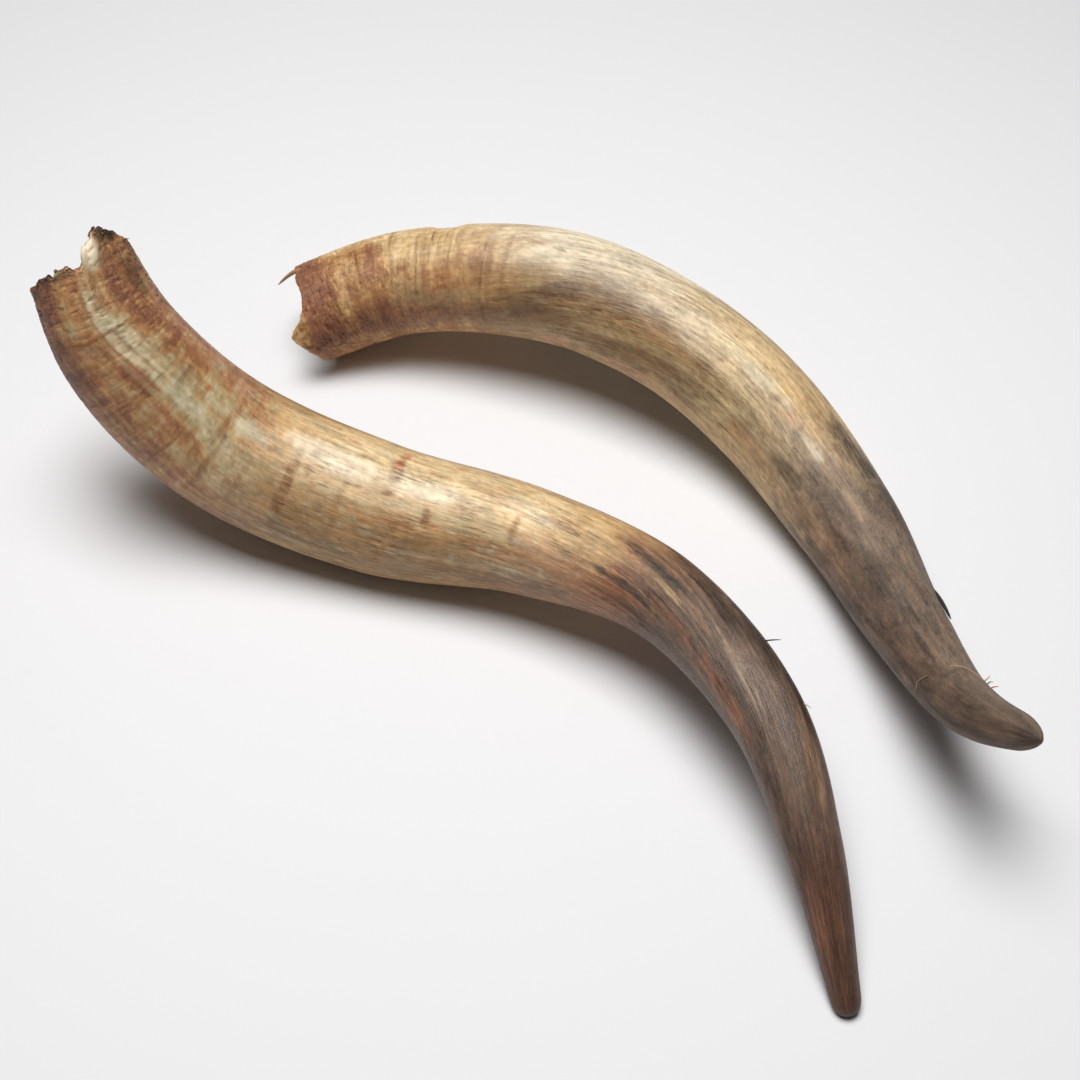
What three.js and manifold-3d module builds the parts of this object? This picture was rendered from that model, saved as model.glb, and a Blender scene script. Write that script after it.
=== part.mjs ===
// A pair of longhorn steer horns: two loose sheaths, hollow at the base and solid towards the tip,
// lying on a flat surface. Millimetres, +Z up, with the front of the pair towards -Y and the origin
// on that surface under the middle of the pair.
import * as THREE from 'three';
import { mergeVertices } from 'three/addons/utils/BufferGeometryUtils.js';
import Module from 'manifold-3d';

// Facets round a horn, and the spacing of the rows of facets along it.
const SIDES = 28;
const BASE_ROW = 6;
const BASE_ROWS_LENGTH = 120;
const ROW = 12;
const NOSE_ROWS = 4;
const HOLLOW_ROWS = 11;

// The hollow: wall thickness at the broken rim, depth from the rim to where it closes, and how long
// it stays wide before it closes (2 is an ellipse).
const RIM_WALL = 3;
const HOLLOW_DEPTH = 430;
const HOLLOW_FULLNESS = 2.6;

// The broken rim is set back unevenly, and that unevenness dies away within this length.
const RIM_BLEND = 60;

// Low growth rings round the base: pitch, height and the length over which they fade out.
const RING_PITCH = 24;
const RING_HEIGHT = 0.5;
const RING_FADE = 260;

// A stiff fibre left standing on the back horn's rim: length, thickness, angle and root depth.
const SPLINTER_LENGTH = 15;
const SPLINTER_RADIUS = 1.2;
const SPLINTER_ANGLE = -20;
const SPLINTER_ROOT = 8;

// The surface that the pair lies on is z = 0, and each horn is worn flat where it touches.
const SURFACE_SIZE = 900;

const HORNS = [
  {
    name: 'front_horn',
    color: 0xb08a5c,
    // Centreline from the open base to the tip: x, y, z and the outside radius there.
    stations: [
      [-264, 137, 189, 31],
      [-232, 103, 125, 39],
      [-174, 81, 66, 43],
      [-83.5, 51, 41, 41.5],
      [11.5, 17.5, 48.5, 33.5],
      [90, -36, 62.5, 26.5],
      [144, -116.5, 64, 22.5],
      [169, -192, 40.5, 16.5],
      [185.5, -277.5, 3, 7.5],
    ],
    noseLength: 14,
    // How far the rim is set back, by angle: 0 is the upper side, 90 is to the left of it.
    rim: [
      [-170, 18], [-120, 20], [-75, 17], [-45, 8], [-18, 0],
      [0, 7], [18, 17], [40, 14], [78, 19], [130, 20],
    ],
  },
  {
    name: 'back_horn',
    color: 0xa98a60,
    stations: [
      [-152, 231.5, 25.5, 33],
      [-68.5, 242.5, 52.5, 34.5],
      [27.5, 221.5, 69, 38],
      [102.5, 180.5, 65, 37],
      [162.5, 128, 47, 36.5],
      [211, 47, 31.5, 32],
      [236, -35, 39.5, 24.5],
      [256.5, -121, 72, 16.5],
      [280.5, -181.5, 123, 8.5],
    ],
    noseLength: 13,
    rim: [
      [-150, 15], [-80, 15], [-30, 19], [0, 19], [22, 21],
      [45, 16], [68, 5], [85, 9], [110, 14], [145, 19],
    ],
  },
];

const wasm = await Module();
wasm.setup();

// A closed three.js geometry as a solid that can be joined and cut.
function solidOf(geometry) {
  geometry.deleteAttribute('normal');
  geometry.deleteAttribute('uv');
  const welded = mergeVertices(geometry, 1e-3);
  const corners = [];
  for (let i = 0; i < welded.index.count; i += 3) {
    const triangle = [0, 1, 2].map((k) => welded.index.getX(i + k));
    if (new Set(triangle).size === 3) corners.push(...triangle);
  }
  return new wasm.Manifold(new wasm.Mesh({
    numProp: 3,
    vertProperties: new Float32Array(welded.attributes.position.array),
    triVerts: new Uint32Array(corners),
  }));
}

function geometryOf(solid) {
  const mesh = solid.getMesh();
  const geometry = new THREE.BufferGeometry();
  geometry.setAttribute('position', new THREE.BufferAttribute(new Float32Array(mesh.vertProperties), 3));
  geometry.setIndex(new THREE.BufferAttribute(new Uint32Array(mesh.triVerts), 1));
  geometry.computeVertexNormals();
  return geometry;
}

// The curved axis of a horn: at a length from its base, the place, the radius and the directions
// along the horn, to its upper side and to its left.
class HornAxis {
  constructor(stations) {
    const smooth = (points) => new THREE.CatmullRomCurve3(points, false, 'catmullrom', 0.5);
    this.path = smooth(stations.map(([x, y, z]) => new THREE.Vector3(x, y, z)));
    this.path.arcLengthDivisions = 800;
    this.girth = smooth(stations.map((station) => new THREE.Vector3(station[3], 0, 0)));
    this.length = this.path.getLength();
  }

  at(s) {
    const t = this.path.getUtoTmapping(THREE.MathUtils.clamp(s / this.length, 0, 1));
    const along = this.path.getTangent(t);
    const up = new THREE.Vector3(0, 0, 1).projectOnPlane(along).normalize();
    const left = new THREE.Vector3().crossVectors(along, up);
    return { place: this.path.getPoint(t), radius: this.girth.getPoint(t).x, along, up, left };
  }

  // The point at a length, an angle round the axis and a share of the outside radius.
  pointAt(s, angle, share) {
    const { place, radius, up, left } = this.at(s);
    return place
      .addScaledVector(up, Math.cos(angle) * radius * share)
      .addScaledVector(left, Math.sin(angle) * radius * share);
  }
}

// The rim's setback at an angle, smooth round the whole rim.
function rimSetback(rim, angle) {
  const degrees = THREE.MathUtils.radToDeg(angle);
  const next = rim.findIndex(([at]) => at > degrees);
  const [endAngle, end] = rim[next < 0 ? 0 : next];
  const [startAngle, start] = rim[next < 0 ? rim.length - 1 : (next + rim.length - 1) % rim.length];
  const span = THREE.MathUtils.euclideanModulo(endAngle - startAngle, 360);
  const share = THREE.MathUtils.euclideanModulo(degrees - startAngle, 360) / span;
  return THREE.MathUtils.lerp(start, end, THREE.MathUtils.smoothstep(share, 0, 1));
}

// The straight horn in half section, as shares of its outside radius against length: up the hollow
// from its closed end to the rim, then along the outside to the rounded tip.
function straightProfile(axis, noseLength) {
  const profile = [];
  const rimShare = 1 - RIM_WALL / axis.at(0).radius;
  for (let i = 0; i <= HOLLOW_ROWS; i++) {
    const depth = Math.cos((i / HOLLOW_ROWS) * Math.PI / 2);
    const width = rimShare * Math.sqrt(1 - depth ** HOLLOW_FULLNESS);
    profile.push(new THREE.Vector2(width, depth * HOLLOW_DEPTH));
  }
  const noseStart = axis.length - noseLength;
  for (let s = 0; s < noseStart - ROW / 2; s += s < BASE_ROWS_LENGTH ? BASE_ROW : ROW) {
    const fade = THREE.MathUtils.clamp(1 - s / RING_FADE, 0, 1);
    const ring = RING_HEIGHT * fade * Math.cos((2 * Math.PI * s) / RING_PITCH);
    profile.push(new THREE.Vector2(1 + ring / axis.at(s).radius, s));
  }
  for (let i = 0; i <= NOSE_ROWS; i++) {
    const lean = (i / NOSE_ROWS) * Math.PI / 2;
    profile.push(new THREE.Vector2(Math.cos(lean), noseStart + noseLength * Math.sin(lean)));
  }
  profile[0].x = 0;
  profile.at(-1).x = 0;
  return profile;
}

// A horn: its straight half section turned round, then bent along its axis with its rim broken.
function hornSolid({ stations, noseLength, rim }) {
  const axis = new HornAxis(stations);
  const geometry = new THREE.LatheGeometry(straightProfile(axis, noseLength), SIDES);
  const position = geometry.attributes.position;
  for (let i = 0; i < position.count; i++) {
    const s = position.getY(i);
    const share = Math.hypot(position.getX(i), position.getZ(i));
    const angle = Math.atan2(position.getX(i), position.getZ(i));
    const setback = rimSetback(rim, angle) * (1 - THREE.MathUtils.smoothstep(s, 0, RIM_BLEND));
    const point = axis.pointAt(s + setback, angle, share);
    position.setXYZ(i, point.x, point.y, point.z);
  }
  return solidOf(geometry);
}

// The stiff fibre on the back horn's rim: a thin cone whose root is buried in the wall.
function splinterSolid({ stations, rim }) {
  const axis = new HornAxis(stations);
  const angle = THREE.MathUtils.degToRad(SPLINTER_ANGLE);
  const edge = rimSetback(rim, angle);
  const { radius, along } = axis.at(edge);
  const root = axis.pointAt(edge + SPLINTER_ROOT, angle, 1 - RIM_WALL / 2 / radius);
  const length = SPLINTER_ROOT + SPLINTER_LENGTH;
  const cone = new THREE.ConeGeometry(SPLINTER_RADIUS, length, 6);
  const outwards = along.clone().negate();
  cone.applyQuaternion(new THREE.Quaternion().setFromUnitVectors(new THREE.Vector3(0, 1, 0), outwards));
  const middle = root.addScaledVector(outwards, length / 2);
  cone.translate(middle.x, middle.y, middle.z);
  return solidOf(cone);
}

// The space above the surface, which each horn is kept to.
function spaceAboveSurface() {
  const box = new THREE.BoxGeometry(SURFACE_SIZE, SURFACE_SIZE, SURFACE_SIZE);
  box.translate(0, 0, SURFACE_SIZE / 2);
  return solidOf(box);
}

function hornMesh(horn, solid) {
  const material = new THREE.MeshStandardMaterial({ color: horn.color, roughness: 0.55, metalness: 0 });
  const mesh = new THREE.Mesh(geometryOf(solid.intersect(spaceAboveSurface())), material);
  mesh.name = horn.name;
  return mesh;
}

const [front, back] = HORNS;
const pair = new THREE.Group();
pair.name = 'longhorn_pair';
pair.add(hornMesh(front, hornSolid(front)));
pair.add(hornMesh(back, hornSolid(back).add(splinterSolid(back))));

export default pair;
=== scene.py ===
"""A pair of longhorn steer horns: two weathered sheaths lying on a pale floor."""
import math
from collections import namedtuple

import bpy
import numpy as np
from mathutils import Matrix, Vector


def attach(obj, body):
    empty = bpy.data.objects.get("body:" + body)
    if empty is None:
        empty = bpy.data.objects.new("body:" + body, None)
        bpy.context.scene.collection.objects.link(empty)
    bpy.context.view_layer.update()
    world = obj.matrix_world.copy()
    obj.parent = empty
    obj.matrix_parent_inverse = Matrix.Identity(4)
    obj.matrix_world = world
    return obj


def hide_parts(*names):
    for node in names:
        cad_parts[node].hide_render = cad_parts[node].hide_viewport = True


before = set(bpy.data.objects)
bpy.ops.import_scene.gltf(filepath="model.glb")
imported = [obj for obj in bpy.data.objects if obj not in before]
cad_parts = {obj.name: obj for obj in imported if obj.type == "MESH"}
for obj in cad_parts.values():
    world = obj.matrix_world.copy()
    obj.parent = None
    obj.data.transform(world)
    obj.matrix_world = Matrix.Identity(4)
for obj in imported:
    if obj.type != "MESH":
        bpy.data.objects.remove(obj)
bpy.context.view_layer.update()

MM = 0.001

# The camera stands in front of the pair and looks down on it; the aim is a point of the floor.
CAMERA_ELEVATION = math.radians(50)
CAMERA_DISTANCE = 1344 * MM
CAMERA_AIM = Vector((19.6, 58.5, 0)) * MM
CAMERA_LENS = 70
CAMERA_REACH = 50

# A large softbox hangs high over the pair, a little to the left and behind it, and faces it.
SOFTBOX_SIZE = 2000 * MM
SOFTBOX_PLACE = Vector((-260, 190, 3200)) * MM
SOFTBOX_AIM = Vector((0, 60, 0)) * MM
SOFTBOX_SPREAD = math.radians(62)
SOFTBOX_POWER = 20.4
SKY_STRENGTH = 0.06
SKY_TONE = (1, 1, 1, 1)
FLOOR_SIZE = 8.0
FLOOR_TONE = (0.8, 0.795, 0.8, 1)
FLOOR_ROUGHNESS = 0.9

# The sheath's mesh: columns round it and the spacing of its rows at the base and beyond it.
COLUMNS = 180
BASE_ROW = 0.85
BASE_ROWS_LENGTH = 130
ROW = 1.8
NOSE_ROWS = 12
HOLLOW_ROWS = 26
AXIS_POINTS = 1600

# The wall at the rim, the hollow's depth and fullness, and the length over which the breaks of the rim
# die away, as in the solid.
RIM_WALL = 3.0
HOLLOW_DEPTH = 430
HOLLOW_FULLNESS = 2.6
RIM_BLEND = 60

# The rim's lip is rounded: how far from the rim its inner and outer edges lie in millimetres, and how
# much of the wall is rounded off on either side.
INNER_EDGE = 0.8
OUTER_EDGE = 0.6
INNER_ROUNDING = 0.2
OUTER_ROUNDING = 0.25

# The rim's fine raggedness: its waves round the rim, and their half height in millimetres.
RAGGED_WAVES = (11, 29, 47, 71)
RAGGED_HEIGHT = 0.5
RAGGED_SEED = 7

# The layers of the skin, from the outside in.
OUTSIDE = 0.0
ON_LIP = 0.5
IN_HOLLOW = 1.0

# The grain is laid out on a straight round bar of this radius, so that it closes round the horn.
GRAIN_RADIUS = 40

FRONT = {
    "node": "front_horn",
    # Centreline in millimetres from the open base to the tip: x, y, z, radius, and how far the
    # grain has turned round the horn in degrees.
    "stations": (
        (-262.6, 137, 189, 29.6, 0),
        (-232, 103, 125, 39, 8),
        (-174, 81, 66, 43, 26),
        (-83.5, 51, 41, 41.5, 34),
        (11.5, 17.5, 48.5, 33.5, 48),
        (90, -36, 62.5, 26.5, 68),
        (144, -116.5, 64, 22.5, 95),
        (169, -192, 40.5, 16.5, 112),
        (185.5, -277.5, 3, 7.5, 122),
    ),
    "nose": 11,
    "bluntness": 2.6,
    # How far the broken rim is set back, by angle in degrees: 0 is the upper side, 90 the left.
    "rim": (
        (-165, 32), (-120, 29), (-80, 18), (-52, 12), (-46, 9), (-38, 6), (-30, 5), (-24, 1),
        (-13, 0), (-8, 2), (-6, 5), (2, 7), (7, 7), (11, 13), (16, 16.5), (24, 17), (32, 14),
        (44, 13.5), (50, 17), (56, 15.5), (74, 17), (82, 21), (110, 22), (140, 29),
    ),
    "ragged": 1.0,
}

BACK = {
    "node": "back_horn",
    "stations": (
        (-152, 231.5, 25.5, 33, 0),
        (-68.5, 242.5, 52.5, 34.5, 0),
        (27.5, 221.5, 69, 38, -14),
        (102.5, 180.5, 65, 37, -36),
        (162.5, 128, 47, 36.5, -48),
        (211, 47, 31.5, 32, -50),
        (236, -35, 39.5, 24.5, -52),
        (256.5, -121, 72, 16.5, -54),
        (280.5, -181.5, 123, 7.8, -56),
    ),
    "nose": 24,
    "bluntness": 1.9,
    "rim": (
        (-150, 15), (-80, 15), (-30, 19), (-12, 20), (0, 19.4), (13, 21), (25, 21), (39, 18.5),
        (51, 14), (59, 8.4), (66, 5.4), (72, 5.4), (83, 8.8), (103, 13.7), (116, 14.5), (145, 19),
    ),
    "ragged": 0.25,
}


# The horn's own coordinates

def smooth_through(rows, t):
    """A uniform Catmull-Rom curve through the rows, at t counted in rows."""
    rows = np.asarray(rows, float)
    ends = np.vstack([2 * rows[0] - rows[1], rows, 2 * rows[-1] - rows[-2]])
    i = np.clip(np.floor(t).astype(int), 0, len(rows) - 2)
    w = (t - i)[:, None]
    a, b, c, d = (ends[i + k] for k in range(4))
    return 0.5 * (2 * b + (c - a) * w + (2 * a - 5 * b + 4 * c - d) * w**2 + (3 * b - a - 3 * c + d) * w**3)


def smoothstep(x):
    """A share from 0 to 1, eased at both ends."""
    x = np.clip(x, 0, 1)
    return x * x * (3 - 2 * x)


class Horn:
    """A horn's curved axis, and points on it given by length from the base, angle and radius share."""

    def __init__(self, facts):
        self.facts = facts
        stations = facts["stations"]
        dense = smooth_through(stations, np.linspace(0, len(stations) - 1, AXIS_POINTS))
        self.path, self.radius, self.turn = dense[:, :3], dense[:, 3], dense[:, 4]
        steps = np.linalg.norm(np.diff(self.path, axis=0), axis=1)
        self.s = np.r_[0, np.cumsum(steps)]
        self.length = self.s[-1]
        along = np.gradient(self.path, axis=0)
        self.along = along / np.linalg.norm(along, axis=1)[:, None]
        up = np.array([0, 0, 1.0]) - self.along * self.along[:, 2:]
        self.up = up / np.linalg.norm(up, axis=1)[:, None]
        self.left = np.cross(self.along, self.up)
        angles, setbacks = np.array(facts["rim"], float).T
        self.rim_angles = np.r_[angles[-1] - 360, angles, angles[0] + 360]
        self.rim_setbacks = np.r_[setbacks[-1], setbacks, setbacks[0]]

    def read(self, values, s):
        """The row of values at each length. Before the base it stays as it is there."""
        if values.ndim == 1:
            return np.interp(s, self.s, values)
        return np.stack([np.interp(s, self.s, column) for column in values.T], -1)

    def point(self, s, angle, share=1.0, lift=0.0):
        """Points at length s, angle in degrees, share of the radius and lift off it, in metres."""
        s, angle = np.broadcast_arrays(np.asarray(s, float), np.asarray(angle, float))
        a = np.radians(angle)[..., None]
        out = np.cos(a) * self.read(self.up, s) + np.sin(a) * self.read(self.left, s)
        reach = (self.read(self.radius, s) * share + lift)[..., None]
        before = np.minimum(s, 0)[..., None] * self.along[0]
        return (self.read(self.path, s) + before + out * reach) * MM

    def setback(self, angle):
        """The rim's setback at angles in degrees, with a fine raggedness on it."""
        rng = np.random.default_rng(RAGGED_SEED)
        rough = np.zeros_like(angle)
        for waves in RAGGED_WAVES:
            rough += rng.uniform(0.3, 1) * np.sin(np.radians(angle) * waves + rng.uniform(0, 6))
        even = np.interp(angle, self.rim_angles, self.rim_setbacks)
        return even + self.facts["ragged"] * RAGGED_HEIGHT * rough


# Meshes

def sheath_mesh(horn):
    """The horn as a closed skin: up the hollow to the rim, over it and along the outside to the tip."""
    facts = horn.facts
    angle = np.linspace(-180, 180, COLUMNS, endpoint=False)
    setback = horn.setback(angle)
    rim_share = 1 - RIM_WALL / horn.radius[0]
    rows = []                                   # length from the rim, share of the radius, layer
    for i in range(1, HOLLOW_ROWS):
        deep = math.cos(i / HOLLOW_ROWS * math.pi / 2)
        rows.append((deep * HOLLOW_DEPTH, rim_share * math.sqrt(1 - deep**HOLLOW_FULLNESS), IN_HOLLOW))
    wall = 1 - rim_share
    rows.append((INNER_EDGE, rim_share, IN_HOLLOW))
    rows.append((0.0, rim_share + INNER_ROUNDING * wall, ON_LIP))
    rows.append((0.0, 1 - OUTER_ROUNDING * wall, ON_LIP))
    nose_start = horn.length - facts["nose"]
    s = OUTER_EDGE
    while s < nose_start - ROW / 2:
        rows.append((s, 1.0, OUTSIDE))
        s += BASE_ROW if s < BASE_ROWS_LENGTH else ROW
    for i in range(NOSE_ROWS):
        x = math.sin(i / NOSE_ROWS * math.pi / 2)
        share = (1 - x ** facts["bluntness"]) ** (1 / facts["bluntness"])
        rows.append((nose_start + x * facts["nose"], share, OUTSIDE))

    rim_length, share, layer = (np.array(column)[:, None] for column in zip(*rows))
    s = rim_length + setback * (1 - smoothstep(rim_length / RIM_BLEND))
    angles = np.broadcast_to(angle, s.shape)
    grid = horn.point(s, angles, np.broadcast_to(share, s.shape))
    poles = [horn.point(HOLLOW_DEPTH, 0, 0), horn.point(horn.length, 0, 0)]
    vertices = np.vstack([grid.reshape(-1, 3), poles])

    count = len(rows)
    i, j = np.meshgrid(np.arange(count - 1), np.arange(COLUMNS), indexing="ij")
    right = (j + 1) % COLUMNS
    row, next_row = i * COLUMNS, (i + 1) * COLUMNS
    quads = np.stack([row + j, next_row + j, next_row + right, row + right], -1)
    faces = quads.reshape(-1, 4).tolist()
    start, end = count * COLUMNS, count * COLUMNS + 1
    last = (count - 1) * COLUMNS
    for k in range(COLUMNS):
        after = (k + 1) % COLUMNS
        faces.append((start, k, after))
        faces.append((end, last + after, last + k))

    mesh = bpy.data.meshes.new(facts["node"] + "_sheath")
    mesh.from_pydata(vertices.tolist(), [], faces)

    def with_poles(values, hollow_end, tip):
        return np.append(np.broadcast_to(values, s.shape).ravel(), [hollow_end, tip])

    write_place(
        mesh, horn,
        with_poles(s, HOLLOW_DEPTH, horn.length),
        with_poles(angles, 0, 0),
        with_poles(rim_length, HOLLOW_DEPTH, horn.length),
        with_poles(layer, IN_HOLLOW, OUTSIDE),
    )
    mesh.polygons.foreach_set("use_smooth", np.ones(len(mesh.polygons), bool))
    mesh.validate()
    return mesh


def write_place(mesh, horn, s, angle, from_rim, layer):
    """Stores where each vertex is on the horn, for the relief and the materials to read."""
    a = np.radians(angle)
    g = np.radians(angle - horn.read(horn.turn, s))
    bar = GRAIN_RADIUS * MM
    vectors = {
        "lie": np.stack([np.cos(a), np.sin(a), s * MM], -1),
        "grain": np.stack([bar * np.cos(g), bar * np.sin(g), s * MM], -1),
    }
    for name, values in vectors.items():
        stored = mesh.attributes.new(name, "FLOAT_VECTOR", "POINT")
        stored.data.foreach_set("vector", values.astype("f").ravel())
    for name, values in {"from_rim": from_rim, "layer": layer}.items():
        stored = mesh.attributes.new(name, "FLOAT", "POINT")
        stored.data.foreach_set("value", values.astype("f"))


def shown(name, mesh):
    """A mesh as a piece of the scene, at the origin."""
    piece = bpy.data.objects.new(name, mesh)
    bpy.context.scene.collection.objects.link(piece)
    return piece


# Node graphs

class Graph:
    """Adds nodes to a tree. A socket given as a value is set, and one given as an output is linked."""

    def __init__(self, tree):
        self.tree = tree

    def add(self, kind, inputs, output=0, **settings):
        node = self.tree.nodes.new(kind)
        for key, value in settings.items():
            setattr(node, key, value)
        for key, value in inputs.items():
            if isinstance(value, bpy.types.NodeSocket):
                self.tree.links.new(value, node.inputs[key])
            else:
                node.inputs[key].default_value = value
        return node.outputs[output]

    def math(self, operation, a, b=0.0, c=0.0):
        return self.add("ShaderNodeMath", {0: a, 1: b, 2: c}, operation=operation)

    def centred(self, noise):
        return self.math("SUBTRACT", noise, 0.5)

    def scaled(self, vector, amount):
        return self.add("ShaderNodeVectorMath", {0: vector, 3: amount}, operation="SCALE")

    def read(self, name, kind="FLOAT"):
        return self.add("GeometryNodeInputNamedAttribute", {0: name}, data_type=kind)

    def store(self, geometry, name, value, kind):
        values = {"Geometry": geometry, "Name": name, "Value": value}
        return self.add("GeometryNodeStoreNamedAttribute", values, data_type=kind, domain="POINT")

    def split(self, vector):
        node = self.tree.nodes.new("ShaderNodeSeparateXYZ")
        self.tree.links.new(vector, node.inputs[0])
        return node.outputs

    def step(self, value, low, high):
        return self.add("ShaderNodeMapRange", {0: value, 1: low, 2: high}, interpolation_type="SMOOTHSTEP")

    def spread(self, value, low, high, to_low, to_high):
        return self.add("ShaderNodeMapRange", {0: value, 1: low, 2: high, 3: to_low, 4: to_high})

    def shows(self, value, show, by=None):
        """The share in which something shows, from none at its start to all where it is full."""
        share = show.share if by is None else self.math("MULTIPLY", by, show.share)
        return self.math("MULTIPLY", self.step(value, show.start, show.full), share)

    def noise(self, vector, noise):
        scale = (noise.round, noise.round, noise.along)
        shift = tuple(noise.shift * way for way in SHIFT_WAY)
        values = {0: vector, 1: scale, 2: shift}
        stretched = self.add("ShaderNodeVectorMath", values, operation="MULTIPLY_ADD")
        values = {"Vector": stretched, "Scale": 1.0, "Detail": noise.octaves, "Roughness": noise.rough}
        return self.add("ShaderNodeTexNoise", values)

    def mix(self, factor, a, b, blend="MIX"):
        return self.add("ShaderNodeMix", {0: factor, 6: a, 7: b}, 2, data_type="RGBA", blend_type=blend)

    def ramp(self, value, stops):
        output = self.add("ShaderNodeValToRGB", {0: value})
        elements = output.node.color_ramp.elements
        while len(elements) < len(stops):
            elements.new(0.5)
        for element, (place, colour) in zip(elements, stops):
            element.position = place
            element.color = colour
        return output


# Noises

# A noise on the grain: its cells to the metre round the horn and along it, its octaves, how rough it is,
# and a shift that sets it apart from the others.
Noise = namedtuple("Noise", "round along octaves rough shift")
SHIFT_WAY = (1.0, 0.7, 1.3)

MARK_WOBBLE = Noise(85, 85, 4.0, 0.65, 31.0)
MARK_STREAKS = Noise(420, 26, 3.0, 0.6, 4.0)
RING_WAVER = Noise(34, 12, 3.0, 0.6, 17.0)

SWELLS = Noise(22, 16, 1.0, 0.5, 0.0)
RINGS = Noise(7, 190, 2.0, 0.6, 3.1)
LINES = Noise(48, 480, 2.0, 0.6, 7.7)
SCALES = Noise(340, 420, 3.0, 0.6, 5.3)
FLAKES = Noise(150, 430, 3.0, 0.6, 37.0)
GROOVES = Noise(240, 10, 2.0, 0.5, 8.7)
CRUST = Noise(420, 420, 3.0, 0.65, 1.9)

BASE_BLOCKS = Noise(16, 100, 4.0, 0.62, 41.0)
BASE_STRIPES = Noise(110, 9, 4.0, 0.62, 43.0)
DRIFT = Noise(60, 24, 4.0, 0.6, 2.0)
BANDS = Noise(150, 6, 3.0, 0.6, 3.0)
CLOUDS = Noise(150, 80, 4.0, 0.65, 13.0)
BLOTS = Noise(330, 230, 3.0, 0.6, 19.0)
SHADE_STREAKS = Noise(420, 24, 3.0, 0.6, 23.0)
PATCHES = Noise(64, 30, 6.0, 0.68, 29.0)

FINE_STREAKS = Noise(560, 52, 3.0, 0.65, 4.0)
FINE_DASHES = Noise(1300, 150, 2.0, 0.6, 6.0)
FINE_SPECKS = Noise(900, 900, 3.0, 0.65, 11.0)
FINE_LINES = Noise(48, 480, 3.0, 0.65, 7.7)
FINE_CRACKS = Noise(190, 120, 3.0, 0.6, 27.0)
FIBRE_PATCHES = Noise(46, 34, 3.0, 0.6, 9.0)

# Where a noise begins to show, where it shows in full, and its share there.
Show = namedtuple("Show", "start full share", defaults=(1.0,))
STREAKS_SHOW = Show(0.4, 0.6)
FLAKES_SHOW = Show(0.55, 0.62)
BLOCKS_SHOW = Show(0.4, 0.6)


# Marks

# A mark lies at a length from the base and an angle round the horn, in millimetres and degrees, and
# reaches so far along and round it. It follows the grain, is ragged at its edge and is broken up by
# the streaks of the grain.
Mark = namedtuple("Mark", "tone place side length width strength ragged streaky", defaults=(0.7, 0.6, 0.0))

# Marks shorter than this along the horn are growth rings, which sway this far to and fro.
RING_LENGTH = 7
RING_SWAY = 7

# A mark's edge, as shares of its reach: it begins at the first and is full at the second.
MARK_EDGE = (1.1, 0.4)
MARK_INPUTS = ("Along", "Angle", "Wobble", "Waver", "Streak", "Place", "Side", "Length", "Width", "Lean",
               "Ragged", "Sway", "Streaky", "Strength")


def mark_group():
    """A node group whose output is a mark's strength inside it and nothing beyond its ragged edge."""
    tree = bpy.data.node_groups.new("mark", "GeometryNodeTree")
    for name in MARK_INPUTS:
        tree.interface.new_socket(name, in_out="INPUT", socket_type="NodeSocketFloat")
    tree.interface.new_socket("Mask", in_out="OUTPUT", socket_type="NodeSocketFloat")
    source = tree.nodes.new("NodeGroupInput").outputs
    g = Graph(tree)
    ahead = g.math("SUBTRACT", source["Along"], source["Place"])
    leaning = g.math("MULTIPLY_ADD", ahead, source["Lean"], source["Side"])
    beside = g.math("WRAP", g.math("SUBTRACT", source["Angle"], leaning), 180.0, -180.0)
    across = g.math("DIVIDE", beside, source["Width"])
    swaying = g.math("MULTIPLY_ADD", source["Waver"], source["Sway"], ahead)
    lengthwise = g.math("DIVIDE", swaying, source["Length"])
    squared = g.math("MULTIPLY_ADD", lengthwise, lengthwise, g.math("MULTIPLY", across, across))
    reach = g.math("MULTIPLY_ADD", source["Wobble"], source["Ragged"], g.math("SQRT", squared))
    inside = g.step(reach, *MARK_EDGE)
    streaks = g.math("MULTIPLY_ADD", g.math("SUBTRACT", source["Streak"], 1.0), source["Streaky"], 1.0)
    mask = g.math("MULTIPLY", g.math("MULTIPLY", inside, streaks), source["Strength"])
    tree.links.new(mask, tree.nodes.new("NodeGroupOutput").inputs[0])
    return tree


MARK_GROUP = mark_group()


class Place:
    """The nodes of a relief tree that tell where on a horn a point lies."""

    def __init__(self, graph, horn):
        self.graph, self.horn = graph, horn
        self.grain = graph.read("grain", "FLOAT_VECTOR")
        self.from_rim = graph.read("from_rim")
        self.layer = graph.read("layer")
        lie = graph.split(graph.read("lie", "FLOAT_VECTOR"))
        self.s = graph.math("MULTIPLY", lie[2], 1 / MM)
        self.angle = graph.math("DEGREES", graph.math("ARCTAN2", lie[1], lie[0]))
        self.wobble = graph.centred(self.noise(MARK_WOBBLE))
        self.waver = graph.centred(self.noise(RING_WAVER))
        self.streak = graph.shows(self.noise(MARK_STREAKS), STREAKS_SHOW)
        self.flakes = graph.shows(self.noise(FLAKES), FLAKES_SHOW)

    def noise(self, noise):
        return self.graph.noise(self.grain, noise)

    def mask(self, mark, strength):
        """A mark of the given strength. A short one wavers, and a long one leans with the grain."""
        horn = self.horn
        is_ring = mark.length < RING_LENGTH
        lean = 0.0 if is_ring else float(np.interp(mark.place, horn.s, np.gradient(horn.turn, horn.s)))
        values = {
            "Along": self.s, "Angle": self.angle, "Wobble": self.wobble, "Waver": self.waver,
            "Streak": self.streak, "Place": mark.place, "Side": mark.side, "Length": mark.length,
            "Width": mark.width, "Lean": lean, "Ragged": mark.ragged * 2, "Sway": RING_SWAY * is_ring,
            "Streaky": mark.streaky, "Strength": strength,
        }
        return self.graph.add("GeometryNodeGroup", values, node_tree=MARK_GROUP)


# Relief

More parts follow.
